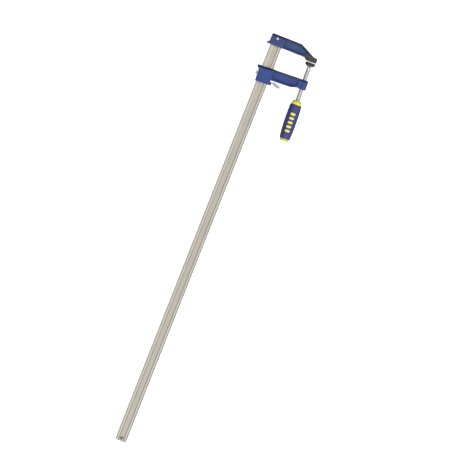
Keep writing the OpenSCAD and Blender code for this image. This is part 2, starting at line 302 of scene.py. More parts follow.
def cast_skin(node, voxel, rounds, shape_it):
    """A casting's skin: the CAD node's mesh, taken to an even net and relaxed, which rounds its edges and
    fills its corners. shape_it(points, normals) then moves the net's corners."""
    name = node + "_skin"
    source = bmesh.new()
    source.from_mesh(frame["nodes"][node].data)
    bmesh.ops.remove_doubles(source, verts=source.verts, dist=1e-6)
    mesh = bpy.data.meshes.new(name)
    source.to_mesh(mesh)
    source.free()
    piece = link(name, mesh)
    net = piece.modifiers.new("net", "REMESH")
    net.mode, net.voxel_size, net.adaptivity = "VOXEL", voxel, 0.0
    relax = piece.modifiers.new("relax", "SMOOTH")
    relax.factor, relax.iterations = 0.5, rounds
    mesh = baked(piece, name)
    moved = shape_it(read(mesh.vertices, "co"), read(mesh.vertices, "normal"))
    mesh.vertices.foreach_set("co", moved.ravel())
    mesh.update()
    mesh.polygons.foreach_set("use_smooth", np.ones(len(mesh.polygons), bool))
    return mesh


def turned_down(points, near, inner, share):
    """Outside a half thickness, the height over it shrinks by a share that grows as near goes to 1."""
    over = np.maximum(np.abs(points[:, 2]) - inner, 0.0)
    moved = points.copy()
    moved[:, 2] -= np.sign(points[:, 2]) * over * share * np.clip(near, 0.0, 1.0)
    return moved


# ---- finishes


def put(tree, kind, values=None, **settings):
    """A node with its settings; each value is a constant for a socket, or a socket to link it from."""
    made = tree.nodes.new(kind)
    for key, value in settings.items():
        setattr(made, key, value)
    for key, value in (values or {}).items():
        if isinstance(value, bpy.types.NodeSocket):
            tree.links.new(value, made.inputs[key])
        else:
            made.inputs[key].default_value = value
    return made


def ramp(tree, value, low, high, to_low=0.0, to_high=1.0):
    """A smooth step of a value from one range to another."""
    values = {"Value": value, "From Min": low, "From Max": high, "To Min": to_low, "To Max": to_high}
    return put(tree, "ShaderNodeMapRange", values, interpolation_type="SMOOTHSTEP").outputs["Result"]


def math_node(tree, what, a, b, clamp=False):
    """One sum or product of two values."""
    return put(tree, "ShaderNodeMath", {0: a, 1: b}, operation=what, use_clamp=clamp).outputs[0]


def mix_colour(tree, amount, a, b):
    """Colour a turning into colour b by an amount."""
    values = {0: amount}
    for index, value in ((6, a), (7, b)):
        values[index] = value if isinstance(value, bpy.types.NodeSocket) else (*value, 1.0)
    return put(tree, "ShaderNodeMix", values, data_type="RGBA").outputs[2]


def attribute(tree, name):
    """A value kept on the mesh."""
    return put(tree, "ShaderNodeAttribute", attribute_name=name).outputs["Fac"]


def object_place(tree, stretch=None, turn=0.0):
    """Object coordinates; with a stretch, scaled along the axes and turned about Z."""
    place = put(tree, "ShaderNodeTexCoord").outputs["Object"]
    if stretch is None:
        return place
    values = {"Vector": place, "Rotation": (0.0, 0.0, turn), "Scale": stretch}
    return put(tree, "ShaderNodeMapping", values).outputs["Vector"]


def noise(tree, place, scale, detail, roughness=0.5):
    """Noise over a place, in the range 0 to 1."""
    values = {"Vector": place, "Scale": scale, "Detail": detail, "Roughness": roughness}
    return put(tree, "ShaderNodeTexNoise", values).outputs["Fac"]


def group(name, inputs, outputs):
    """An empty shader group, from its inputs' names and defaults and the names of its outputs."""
    tree = bpy.data.node_groups.new(name, "ShaderNodeTree")
    for label, value in inputs.items():
        kind = "NodeSocketFloat" if isinstance(value, float) else "NodeSocketVector"
        tree.interface.new_socket(label, in_out="INPUT", socket_type=kind).default_value = value
    for label in outputs:
        tree.interface.new_socket(label, in_out="OUTPUT", socket_type="NodeSocketFloat")
    return tree, tree.nodes.new("NodeGroupInput").outputs, tree.nodes.new("NodeGroupOutput").inputs


def grain_group(name):
    """Fine uneven texture on Object coordinates: a Value that varies by Contrast, and a Height for bumps."""
    inputs = {"Stretch": (1.0, 1.0, 1.0), "Scale": 400.0, "Detail": 3.0, "Contrast": 1.0}
    tree, given, out = group(name, inputs, ("Value", "Height"))
    height = noise(tree, object_place(tree, given["Stretch"]), given["Scale"], given["Detail"], 0.6)
    centred = math_node(tree, "SUBTRACT", height, 0.5)
    spread = math_node(tree, "MULTIPLY", centred, given["Contrast"])
    tree.links.new(math_node(tree, "ADD", spread, 0.5, clamp=True), out["Value"])
    tree.links.new(height, out["Height"])
    return tree


def wear_and_shade_group(name):
    """Where edges are rubbed, and where hollows get painted shade: the attribute of how far each corner
    stands out, broken up by noise.
    """
    inputs = {"Start": 0.8, "Full": 1.1, "Breakup": 1.0, "Scale": 300.0}
    tree, given, out = group(name, inputs, ("Rubbed", "HollowShade"))
    rubbed_and_shaded = attribute(tree, "rubbed_and_shaded")
    centred = math_node(tree, "SUBTRACT", noise(tree, object_place(tree), given["Scale"], 4.0), 0.5)
    uneven = math_node(tree, "MULTIPLY", centred, given["Breakup"])
    edge = math_node(tree, "ADD", rubbed_and_shaded, uneven)
    tree.links.new(ramp(tree, edge, given["Start"], given["Full"]), out["Rubbed"])
    # How deep a hollow is, for the painted shade there.
    hollow = math_node(tree, "SUBTRACT", math_node(tree, "MULTIPLY", rubbed_and_shaded, -1.0), uneven)
    tree.links.new(ramp(tree, hollow, 0.05, 0.55), out["HollowShade"])
    return tree


def scuff_group(name):
    """Sparse long scratches in two directions, from thin bands of stretched noise."""
    tree, given, out = group(name, {"Scale": 60.0, "Width": 0.012}, ("Scratches",))
    lines = []
    for turn, stretch in ((0.5, (1.0, 9.0, 1.0)), (-0.9, (8.0, 1.0, 1.0))):
        height = noise(tree, object_place(tree, stretch, turn), given["Scale"], 1.0)
        off = math_node(tree, "ABSOLUTE", math_node(tree, "SUBTRACT", height, 0.62), 0.0)
        near = math_node(tree, "DIVIDE", off, given["Width"])
        lines.append(math_node(tree, "SUBTRACT", 1.0, near, clamp=True))
    tree.links.new(math_node(tree, "MAXIMUM", *lines), out["Scratches"])
    return tree


GROUPS = {"grain": grain_group, "edge_wear": wear_and_shade_group, "scuffs": scuff_group}


def use(tree, name, **values):
    """The outputs of a shader group, built once and placed with its own values; _ stands for a space."""
    placed = tree.nodes.new("ShaderNodeGroup")
    placed.node_tree = bpy.data.node_groups.get(name) or GROUPS[name](name)
    for key, value in values.items():
        placed.inputs[key.replace("_", " ")].default_value = value
    return placed.outputs


def new_finish(name, **values):
    """A material with one Principled shader whose constants are set on its own sockets."""
    finish = bpy.data.materials.new(name)
    finish.use_nodes = True
    tree = finish.node_tree
    shader = tree.nodes["Principled BSDF"]
    for key, value in values.items():
        shader.inputs[key.replace("_", " ")].default_value = value
    return finish, tree, shader


def dress(tree, shader, colour, rough, height, strength, distance):
    """Links a colour and a roughness to a shader, and a height map to its normal through a bump."""
    tree.links.new(colour, shader.inputs["Base Color"])
    tree.links.new(rough, shader.inputs["Roughness"])
    made = put(tree, "ShaderNodeBump", {"Height": height, "Strength": strength, "Distance": distance})
    tree.links.new(made.outputs["Normal"], shader.inputs["Normal"])


def shade(colour, factor, lift=0.0):
    """A colour made darker or lighter, up to white."""
    return [min(1.0, c * factor + lift) for c in colour]


def rolled_steel(name, colour, along, rough=0.34, shift=0.08, scale=None):
    """Rolled or brushed steel: streaks along one direction, slow stains and scratches.

    With a scale colour, the attribute "tone" goes from 0, painted shade in the scale colour, to 1, a painted
    highlight in a lighter copy of the steel's colour.
    """
    finish, tree, shader = new_finish(name, Metallic=1.0)
    streaks = use(tree, "grain", Stretch=along, Scale=1500.0, Detail=4.0, Contrast=1.6)
    stains = use(tree, "grain", Scale=26.0, Detail=5.0, Contrast=1.8)["Value"]
    scratches = use(tree, "scuffs", Scale=34.0, Width=0.006)["Scratches"]
    light = shade(colour, 1 + shift)
    warm = [c * k for c, k in zip(colour, (0.9, 0.84, 0.74))]
    base = mix_colour(tree, streaks["Value"], shade(colour, 1 - 2.2 * shift), light)
    base = mix_colour(tree, ramp(tree, stains, 0.35, 0.95, 0.0, 0.5), base, warm)
    base = mix_colour(tree, math_node(tree, "MULTIPLY", scratches, 0.4), base, light)
    rougher = ramp(tree, stains, 0.0, 1.0, rough - 0.07, rough + 0.1)
    if scale:
        # Painted light: a painted highlight where the tone is high, painted shade where it is low.
        tone = attribute(tree, "tone")
        highlight = [min(1.0, c * k) for c, k in zip(colour, (1.16, 1.18, 1.23))]
        base = mix_colour(tree, ramp(tree, tone, 0.6, 1.0, 0.0, 0.8), base, highlight)
        base = mix_colour(tree, ramp(tree, tone, 0.0, 0.5, 1.0, 0.0), base, scale)
        rougher = math_node(tree, "ADD", rougher, ramp(tree, tone, 0.0, 0.6, 0.15, 0.0))
    dress(tree, shader, base, rougher, streaks["Height"], 0.3, 0.06 * MM)
    return finish


BARE_IRON = (0.26, 0.27, 0.30)


def enamel(name, colour):
    """Stoved enamel on a rough casting: cast texture under it, edges rubbed to metal, painted shade in the
    hollows.

    The attribute "brow" is 1 along a top edge, where a darker copy of the enamel is painted as shade.
    """
    finish, tree, shader = new_finish(name, Specular_IOR_Level=0.2, Coat_Weight=0.3, Coat_Roughness=0.22)
    skin = use(tree, "grain", Scale=420.0, Detail=5.0, Contrast=1.3)
    patches = use(tree, "grain", Scale=38.0, Detail=3.0, Contrast=1.8)["Value"]
    rub_and_shade = use(tree, "edge_wear", Start=0.95, Full=1.2, Breakup=1.1, Scale=230.0)
    base = mix_colour(tree, patches, shade(colour, 0.78), shade(colour, 1.22, 0.003))
    # Painted shade in the hollows: a darker copy of the enamel.
    base = mix_colour(tree, math_node(tree, "MULTIPLY", rub_and_shade["HollowShade"], 0.5), base, shade(colour, 0.3))
    # Painted shade along the top edges.
    base = mix_colour(tree, attribute(tree, "brow"), base, shade(colour, 0.42))
    base = mix_colour(tree, rub_and_shade["Rubbed"], base, BARE_IRON)
    tree.links.new(rub_and_shade["Rubbed"], shader.inputs["Metallic"])
    rough = ramp(tree, skin["Value"], 0.0, 1.0, 0.32, 0.48)
    dress(tree, shader, base, rough, skin["Height"], 0.45, 0.35 * MM)
    return finish


def plastic(name, colour, rough, grain_scale, grain_height, coat=0.0):
    """Moulded plastic: a fine eroded grain, slightly uneven colour and handling scuffs."""
    finish, tree, shader = new_finish(name, Coat_Weight=coat, Coat_Roughness=0.15)
    grain = use(tree, "grain", Scale=grain_scale, Detail=2.0, Contrast=1.5)["Height"]
    patches = use(tree, "grain", Scale=55.0, Detail=4.0, Contrast=1.8)["Value"]
    scratches = use(tree, "scuffs", Scale=75.0, Width=0.012)["Scratches"]
    base = mix_colour(tree, patches, shade(colour, 0.86), shade(colour, 1.1))
    base = mix_colour(tree, math_node(tree, "MULTIPLY", scratches, 0.22), base, shade(colour, 0.75, 0.12))
    uneven = ramp(tree, patches, 0.0, 1.0, rough - 0.06, rough + 0.08)
    dress(tree, shader, base, uneven, grain, 0.5, grain_height)
    return finish


def rubber(name, colour):
    """Dull black rubber with a bloom of dust and a fine skin.

    The attribute "tone" is 1 on the tops of ribs, where a lighter grey is painted as a highlight.
    """
    finish, tree, shader = new_finish(name, Specular_IOR_Level=0.35, Sheen_Weight=0.15)
    skin = use(tree, "grain", Scale=900.0, Detail=3.0, Contrast=1.5)["Height"]
    dust = use(tree, "grain", Scale=120.0, Detail=5.0, Contrast=2.2)["Value"]
    base = mix_colour(tree, ramp(tree, dust, 0.45, 1.0, 0.0, 0.55), colour, shade(colour, 1.7, 0.02))
    # A lighter grey on the rib tops, a painted highlight.
    base = mix_colour(tree, attribute(tree, "tone"), base, shade(colour, 3.2, 0.01))
    dress(tree, shader, base, ramp(tree, dust, 0.0, 1.0, 0.55, 0.78), skin, 0.5, 0.12 * MM)
    return finish


# ---- sizes and colours a user would change


def colour_property(label, words, value):
    """A colour setting."""
    return FloatVectorProperty(
        name=label, description=words, default=value, size=3, subtype="COLOR", min=0.0, max=1.0
    )


def length_property(label, words, value, low, high):
    """A length setting, from millimetres."""
    return FloatProperty(
        name=label, description=words, default=value * MM, min=low * MM, max=high * MM, unit="LENGTH"
    )


class ClampSizes(bpy.types.PropertyGroup):
    """Sizes of the details that the frame leaves open."""

    bar_corner: length_property("Bar corner", "Radius of the bar's outer corners", 0.9, 0.1, 1.5)
    cast_net: length_property("Casting net", "Spacing of the net that skins the castings", 0.62, 0.4, 2)
    cast_rounds: IntProperty(
        name="Casting rounds", description="How often the castings' skin is relaxed", default=7, min=1, max=20
    )
    pitch: length_property("Thread pitch", "Height of one turn of the screw's thread", 3, 1, 5)
    boot_drop: length_property("Boot drop", "How far the boot's face hangs below the hard pad", 0.2, 0, 0.5)
    thread_depth: length_property("Thread depth", "Depth of the screw's thread", 0.75, 0.3, 2)
    spring_turns: FloatProperty(
        name="Spring turns", description="Turns of wire in each clutch spring", default=4.5, min=2.0, max=8.0
    )
    grip_bars: IntProperty(
        name="Grip bars", description="Yellow bars on each side of the grip", default=5, min=1, max=8
    )


class ClampColours(bpy.types.PropertyGroup):
    """Colours of the finishes."""

    bar: colour_property("Bar", "Rolled steel of the bar", (0.43, 0.403, 0.345))
    jaw: colour_property("Fixed jaw", "Enamel of the fixed jaw", (0.019, 0.040, 0.130))
    arm: colour_property("Sliding arm", "Enamel of the sliding arm", (0.014, 0.037, 0.162))
    grip: colour_property("Grip", "Soft plastic of the grip", (0.023, 0.028, 0.138))
    yellow: colour_property("Yellow", "Plastic of the collar and core", (0.66, 0.60, 0.045))
    cap: colour_property("End cap", "Plastic of the end cap", (0.49, 0.43, 0.10))
    black: colour_property("Pads", "Rubber of the pads", (0.020, 0.019, 0.020))
    cup: colour_property("Cup", "Moulding of the swivel pad's cup", (0.05, 0.048, 0.048))
    screw: colour_property("Screw", "Bright steel of the screw", (0.53, 0.52, 0.50))
    lever: colour_property("Lever", "Plated steel of the release lever", (0.37, 0.37, 0.38))
    # The bar also shows this colour, doubled, as painted shade on its side towards the screw.
    scale: colour_property("Mill scale", "Dull skin in grooves and on pins", (0.13, 0.12, 0.105))


# ---- bar


RAISED_WIDE = 7.4 * MM
EDGE_WIDE = 2.9 * MM


def bar_tone(right, up, width, thick):
    """How bright the bar is painted: 1 on raised edges, a painted highlight; 0 on the side towards the screw,
    painted shade; 0.55 elsewhere.
    """
    raised = (up > thick / 2 - 0.04 * MM) & (np.abs(right) > width / 2 - RAISED_WIDE)
    # The side towards the screw, where shade is painted.
    shaded_side = right > width / 2 - EDGE_WIDE - 1 * MM
    return np.where(raised, 1.0, np.where(shaded_side, 0.0, 0.55))


def bar_section(width, thick, corner):
    """The bar's section: a slab with a shallow sloping-sided groove in each face, every corner rounded."""
    groove, flat, slope = 1.2 * MM, width / 2 - RAISED_WIDE, 0.9 * MM
    edge, drop = width / 2 - EDGE_WIDE, 0.9 * MM
    half = [
        ((edge, -thick / 2), 1.2 * MM),
        ((width / 2, -thick / 2 + drop), corner),
        ((width / 2, thick / 2 - drop), corner),
        ((edge, thick / 2), 1.2 * MM),
        ((flat + slope, thick / 2), 0.9 * MM),
        ((flat - slope, thick / 2 - groove), 0.8 * MM),
        ((-flat + slope, thick / 2 - groove), 0.8 * MM),
        ((-flat - slope, thick / 2), 0.9 * MM),
    ]
    points = [p for p, _ in half] + [(-x, -y) for (x, y), _ in half]
    return fillet(points, [r for _, r in half] * 2, 5)


class CLAMP_OT_bar(bpy.types.Operator):
    """Build the rolled bar and its two pins."""

    bl_idname = "clamp.bar"
    bl_label = "Bar and pins"

    def execute(self, context):
        sizes, colours = context.scene.clamp_sizes, context.scene.clamp_colours
        low, high = box("bar")
        width, thick, middle = high[0] - low[0], high[2] - low[2], (low[0] + high[0]) / 2
        loop = bar_section(width, thick, sizes.bar_corner)
        chamfer = 0.5 * MM
        stations = (
            (low[1], chamfer), (low[1] + chamfer, 0.0), (high[1] - chamfer, 0.0), (high[1], chamfer)
        )
        points, faces = swept([np.insert(inset(loop, depth), 1, y, axis=1) for y, depth in stations])
        mesh = self.bored(make_mesh("bar_rolled", points + (middle, 0.0, 0.0), faces))
        right, _, up = (read(mesh.vertices, "co") - (middle, 0.0, 0.0)).T
        # The bar's painted highlight and painted shade.
        keep_values(mesh, "tone", bar_tone(right, np.abs(up), width, thick))
        sharpen(mesh, 35)
        # The scale colour, doubled, is the painted shade on the bar's side towards the screw.
        skin = [2.0 * c for c in colours.scale]
        steel = rolled_steel("bar_steel", colours.bar, (1.0, 0.012, 1.0), scale=skin)
        settle("bar_rolled", mesh, "bar_body", "bar", steel)
        pin_steel = rolled_steel("pin_steel", colours.scale, (1.0, 1.0, 0.2), rough=0.42)
        self.stop_pin(pin_steel)
        self.hollow_pin(pin_steel)
        return {"FINISHED"}

    def bored(self, mesh):
        """The bar with round holes through it, where the two pins sit."""
        for node in ("jaw_pin", "stop_pin"):
            low, high = box(node)
            r, depth = (high[1] - low[1]) / 2, 30 * MM
            points, faces = lathe([(0.0, depth), (r, depth), (r, -depth), (0.0, -depth)], 48)
            drill = make_mesh("drill", points + (low + high) / 2, faces)
            mesh = combined("bar_rolled", mesh, drill, "DIFFERENCE")
        return mesh

    def stop_pin(self, steel):
        """A pin with domed ends: quarter ellipses, r = R cos t and a height that grows by D sin t."""
        low, high = box("stop_pin")
        r, top, domed = (high[0] - low[0]) / 2, high[2], 0.9 * MM
        t = np.linspace(0, 1, 7)[:, None] * math.pi / 2
        dome = np.concatenate([r * np.cos(t), top - domed * (1 - np.sin(t))], 1)
        points, faces = lathe(np.concatenate([dome[::-1], dome * (1, -1)]), 40)
        points[:, :2] += (low[:2] + high[:2]) / 2
        mesh = make_mesh("stop_pin_domed", points, faces)
        sharpen(mesh, 50)
        settle("stop_pin_domed", mesh, "bar_body", "stop_pin", steel)

    def hollow_pin(self, steel):
        """A split spring pin: a rounded wall section carried round all but the slot."""
        low, high = box("jaw_pin")
        outer, bore, slot = (high[1] - low[1]) / 2, 2.7 * MM, 1.2 * MM
        corners = [(outer, low[2]), (outer, high[2]), (bore, high[2]), (bore, low[2])]
        r, z = fillet(corners, [0.35 * MM] * 4, 3).T
        gap = slot / 2 / outer
        angle = np.linspace(gap, 2 * math.pi - gap, 61)[:, None]
        points, faces = swept(np.stack([r * np.cos(angle), r * np.sin(angle), z + 0 * angle], -1))
        mesh = make_mesh("jaw_pin_split", points, faces)
        sharpen(mesh, 50)
        settle("jaw_pin_split", mesh, "bar_body", "jaw_pin", steel)


# ---- castings and the pad on the jaw


BROW = 4.2 * MM
BROW_HALF = 5.2 * MM
SHOULDER = 55.7 * MM
NOSE_FALL = 0.4945


def from_top(points):
    """How far points lie below the fixed jaw's top edge, level as far as its shoulder and then falling."""
    low, high = box("bar")
    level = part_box("fixed_jaw")[1][1] - points[:, 1]
    sloping = level - NOSE_FALL * (points[:, 0] - (low[0] + high[0]) / 2 - SHOULDER)
    return np.minimum(level, sloping / math.hypot(1.0, NOSE_FALL))


def arm_from_top(points):
    """How far points lie below the sliding arm's top edge, square to the arm."""
    heights = points @ UP
    return heights.max() - heights


def jaw_brow(points, _):
    """The jaw's faces fall away towards its top edge, and less towards its underside."""
    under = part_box("fixed_jaw")[0][1]
    moved = turned_down(points, 1 - from_top(points) / BROW, BROW_HALF, 0.6)
    return turned_down(moved, 1 - (points[:, 1] - under) / (2.0 * MM), 5.6 * MM, 0.3)


def arm_brow(points, _):
    """The arm's faces fall away towards its top edge."""
    return turned_down(points, 1 - arm_from_top(points) / BROW, BROW_HALF, 0.6)


class CLAMP_OT_castings(bpy.types.Operator):
    """Skin the fixed jaw and the sliding arm as enamelled castings."""

    bl_idname = "clamp.castings"
    bl_label = "Castings"

    def execute(self, context):
        sizes, colours = context.scene.clamp_sizes, context.scene.clamp_colours
        for node, body, slot, colour, brow, depth in (
            ("fixed_jaw", "bar_body", "jaw_enamel", colours.jaw, jaw_brow, from_top),
            ("sliding_arm", "arm_body", "arm_enamel", colours.arm, arm_brow, arm_from_top),
        ):
            mesh = cast_skin(node, sizes.cast_net, sizes.cast_rounds, brow)
            bulge(mesh)
            under = depth(read(mesh.vertices, "co"))
            # Where painted shade lies along the top edge, for the enamel.
            keep_values(mesh, "brow", 1 - ease(0.8 * BROW, 1.5 * BROW, under))
            settle(node + "_skin", mesh, body, node, enamel(slot, colour))
        return {"FINISHED"}


class CLAMP_OT_boot(bpy.types.Operator):
    """Build the ribbed rubber boot on the fixed jaw's tip."""

    bl_idname = "clamp.boot"
    bl_label = "Fixed pad"

    def execute(self, context):
        sizes, colours = context.scene.clamp_sizes, context.scene.clamp_colours
        low, high = box("fixed_pad")
        fall, rib_pitch, rib_height = math.atan(NOSE_FALL), 2.7 * MM, 0.45 * MM

        def banded(points, normals):
            """1 on bands that run parallel to the jaw's nose, on the two flat sides, and 0 between them."""
            down = (high[1] - points[:, 1]) * math.cos(fall) - (points[:, 0] - low[0]) * math.sin(fall)
            wave = 0.5 + 0.5 * np.cos(2 * math.pi * down / rib_pitch)
            where = ease(-1.5 * MM, 0.5 * MM, down + 4 * MM) * (1 - ease(6 * MM, 8 * MM, down + 1 * MM))
            return ease(0.35, 0.75, wave) * where * ease(0.8, 0.98, np.abs(normals[:, 2]))

        def ribs(points, normals):
            """The bands stand proud, and the face hangs down towards the other pad."""
            rise = rib_height * banded(points, normals)
            moved = turned_down(points, 1 - from_top(points) / BROW, 5.6 * MM, 0.45)
            moved[:, 1] -= sizes.boot_drop * (1 - ease(0.0, 2.5 * MM, points[:, 1] - low[1]))
            return moved + normals * rise[:, None]

        mesh = cast_skin("fixed_pad", 0.4 * MM, 6, ribs)
        # The rib bands, where the painted highlight goes.
        tone = banded(read(mesh.vertices, "co"), read(mesh.vertex_normals, "vector"))
        keep_values(mesh, "tone", tone)
        boot = rubber("boot_rubber", colours.black)
        settle("fixed_pad_skin", mesh, "bar_body", "fixed_pad", boot)
        return {"FINISHED"}


# ---- clutch


class CLAMP_OT_clutch(bpy.types.Operator):
    """Finish the clutch discs, and build the release lever and the two springs."""

    bl_idname = "clamp.clutch"
    bl_label = "Clutch"

    def execute(self, context):
        disc_steel = rolled_steel("disc_steel", (0.42, 0.42, 0.42), (1.0, 1.0, 0.05), rough=0.4)
        for node in sorted(n for n in frame["nodes"] if n.startswith("clutch_disc")):
            disc = frame["nodes"][node]
            disc.data.materials.clear()
            disc.data.materials.append(disc_steel)
            disc.modifiers.new("join", "WELD").merge_threshold = 1e-6
            edge = disc.modifiers.new("edge", "BEVEL")
            edge.width, edge.segments = 0.15 * MM, 2
        self.lever(context.scene.clamp_colours.lever)
        self.springs(context.scene.clamp_sizes.spring_turns)
        return {"FINISHED"}

    def lever(self, colour):
        """The lever, whose blade is drawn out beyond the fork that goes round the bar."""
        low, high = box("release_lever")
        length = np.array((high[0] - low[0], low[1] - high[1], 0.0))
        length /= np.linalg.norm(length)
        side = np.array((-length[1], length[0], 0.0))
        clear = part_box("bar")[1][0] + 5 * MM
        longer, broader = 0.13, 0.16

        def drawn_out(points, _):
            """Past the bar, the blade grows a little longer and broader."""
            along = np.maximum((points - (clear, high[1], 0.0)) @ length, 0.0)
            across = points @ side
            broad = broader * (across - across.min()) * ease(4 * MM, 10 * MM, along)
            return points + longer * along[:, None] * length + broad[:, None] * side

        mesh = cast_skin("release_lever", 0.34 * MM, 8, drawn_out)
        plating = rolled_steel("lever_steel", colour, (0.2, 1.0, 1.0), rough=0.38)
        settle("release_lever_skin", mesh, "clutch_body", "release_lever", plating)

    def springs(self, turns):
        """Wire of round section along a helix, x = R cos a, y = R sin a, its rise eased flat at both ends."""
        place = node_points("clutch_springs")
        axis = np.array([-math.sin(LEAN), math.cos(LEAN), 0.0])
        across = np.array([math.cos(LEAN), math.sin(LEAN), 0.0])
        wire, sides = 0.34 * MM, 10
        parts, faces, start = [], [], 0
        for side in (-1, 1):
            solid = place[place[:, 2] * side > 0]
            along, out = solid @ axis, solid @ across
            middle = across * (out.min() + out.max()) / 2
            middle = middle + (0.0, 0.0, (solid[:, 2].min() + solid[:, 2].max()) / 2)
            t = np.linspace(0, 1, int(turns * 24) + 1)[:, None]
            ring = np.linspace(0, 2 * math.pi, sides, endpoint=False)[None, :]
            turn = 2 * math.pi * turns * t
            rise = ease(-0.02, 1.02, t) * 0.45 + t * 0.55
            height = along.min() + wire + (along.max() - along.min() - 2 * wire) * rise
            away = (out.max() - out.min()) / 2 - wire + wire * np.cos(ring)
            skin, rim = swept(
                middle
                + (away * np.cos(turn))[..., None] * across
                + (away * np.sin(turn))[..., None] * np.array([0.0, 0.0, 1.0])
                + (height + wire * np.sin(ring))[..., None] * axis
            )
            parts.append(skin)
            faces += [[corner + start for corner in face] for face in rim]
            start += len(skin)
        mesh = make_mesh("clutch_springs_coiled", np.concatenate(parts), faces)
        steel = rolled_steel("spring_steel", (0.36, 0.36, 0.37), (1.0, 1.0, 1.0), rough=0.35)
        piece = settle("clutch_springs_coiled", mesh, "arm_body", "clutch_springs", steel)
        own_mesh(piece)


# ---- screw and ball


class CLAMP_OT_screw(bpy.types.Operator):
    """Cut the screw's thread and turn its ball."""

    bl_idname = "clamp.screw"
    bl_label = "Screw"

    def execute(self, context):
        sizes, colours = context.scene.clamp_sizes, context.scene.clamp_colours
        low, high = span("screw")
        radius, socket = reach("screw"), 2.62 * MM
        shown = span("handle_collar")[0]
        step = 0.25 * MM
        heights = np.arange(shown, high - 0.6 * MM, step)
        profile = np.concatenate([
            [(0.0, low), (radius, low), (radius, shown - step)],
            np.stack([np.full(len(heights), radius), heights], 1),
            [(radius - 0.5 * MM, high), (socket, high), (socket, high - 2 * MM), (0.0, high - 2 * MM)],
        ])

        def thread(angle, height, r):
            """Depth by the distance from the helix height = pitch a / 2 pi: flat crests, sloping flanks."""
            turns = height / sizes.pitch - angle / (2 * math.pi)
            off = np.abs((turns % 1.0) - 0.5) * 2
            cut = sizes.thread_depth * (1 - ease(0.28, 0.62, off))
            run_out = (1 - ease(high - 5 * MM, high - 2.5 * MM, height)) * ease(shown, shown + 2 * MM, height)
            return np.where(r > radius - 0.1 * MM, r - cut * run_out, r)

        points, faces = lathe(profile, 72, thread)
        mesh = make_mesh("screw_threaded", on_axis(points), faces)
        # Painted light on the thread: a lighter copy of the steel on the crests as a painted highlight, and a
        # darker copy in the roots as painted shade.
        crest = (np.hypot(points[:, 0], points[:, 1]) - radius) / sizes.thread_depth + 1
        keep_values(mesh, "tone", np.clip(crest, 0.0, 1.0))
        sharpen(mesh, 60)
        grain = (0.3, 0.3, 0.3)
        steel = rolled_steel("screw_steel", colours.screw, grain, 0.3, 0.05, shade(colours.screw, 0.75))
        settle("screw_threaded", mesh, "screw_body", "screw", steel)
        self.ball(rolled_steel("ball_steel", colours.screw, grain, 0.25, 0.05))
        return {"FINISHED"}

    def ball(self, steel):
        """A ball on a waisted neck: r = sqrt(R^2 - h^2) down to the neck's radius, then the neck."""
        low, _ = span("ball_tip")
        size, neck = reach("ball_tip"), 2.5 * MM
        tilt = np.linspace(math.pi / 2, -math.asin(math.sqrt(1 - (neck / size) ** 2)), 24)[:, None]
        dome = np.concatenate([size * np.cos(tilt), size * np.sin(tilt)], 1)
        dome[0, 0] = 0.0
        profile = np.concatenate([dome, [(neck, -size - 1 * MM), (neck, low), (0.0, low)]])
        mesh = turned("ball_tip_turned", profile[::-1], 48)
        settle("ball_tip_turned", mesh, "tip_body", "ball_tip", steel)


# ---- handle


SCREW_BORE = 5.25 * MM
BAR_WIDE, BAR_HIGH, BAR_PITCH = 12.4 * MM, 6 * MM, 10.4 * MM
BAR_SUNK = 0.35 * MM


def grip_outline(low, high, top_r, end_r, belly):
    """The grip's side from its far end to its collar: a taper plus a half sine, with rounded ends."""
    edge = 1.6 * MM
    t = np.linspace(0, 1, 56)
    r = end_r + (top_r - end_r) * t + belly * np.sin(math.pi * t)
    h = low + (high - low) * t
    near = np.minimum(h - low, high - h)
    inside = np.clip(edge - near, 0, edge)
    return np.stack([r - (edge - np.sqrt(np.maximum(edge**2 - inside**2, 0))), h], 1)


def evenly(outline, at, places):
    """The points of an outline at given places, read between its corners' own places."""
    return np.stack([np.interp(places, at, outline[:, k]) for k in (0, 1)], 1)


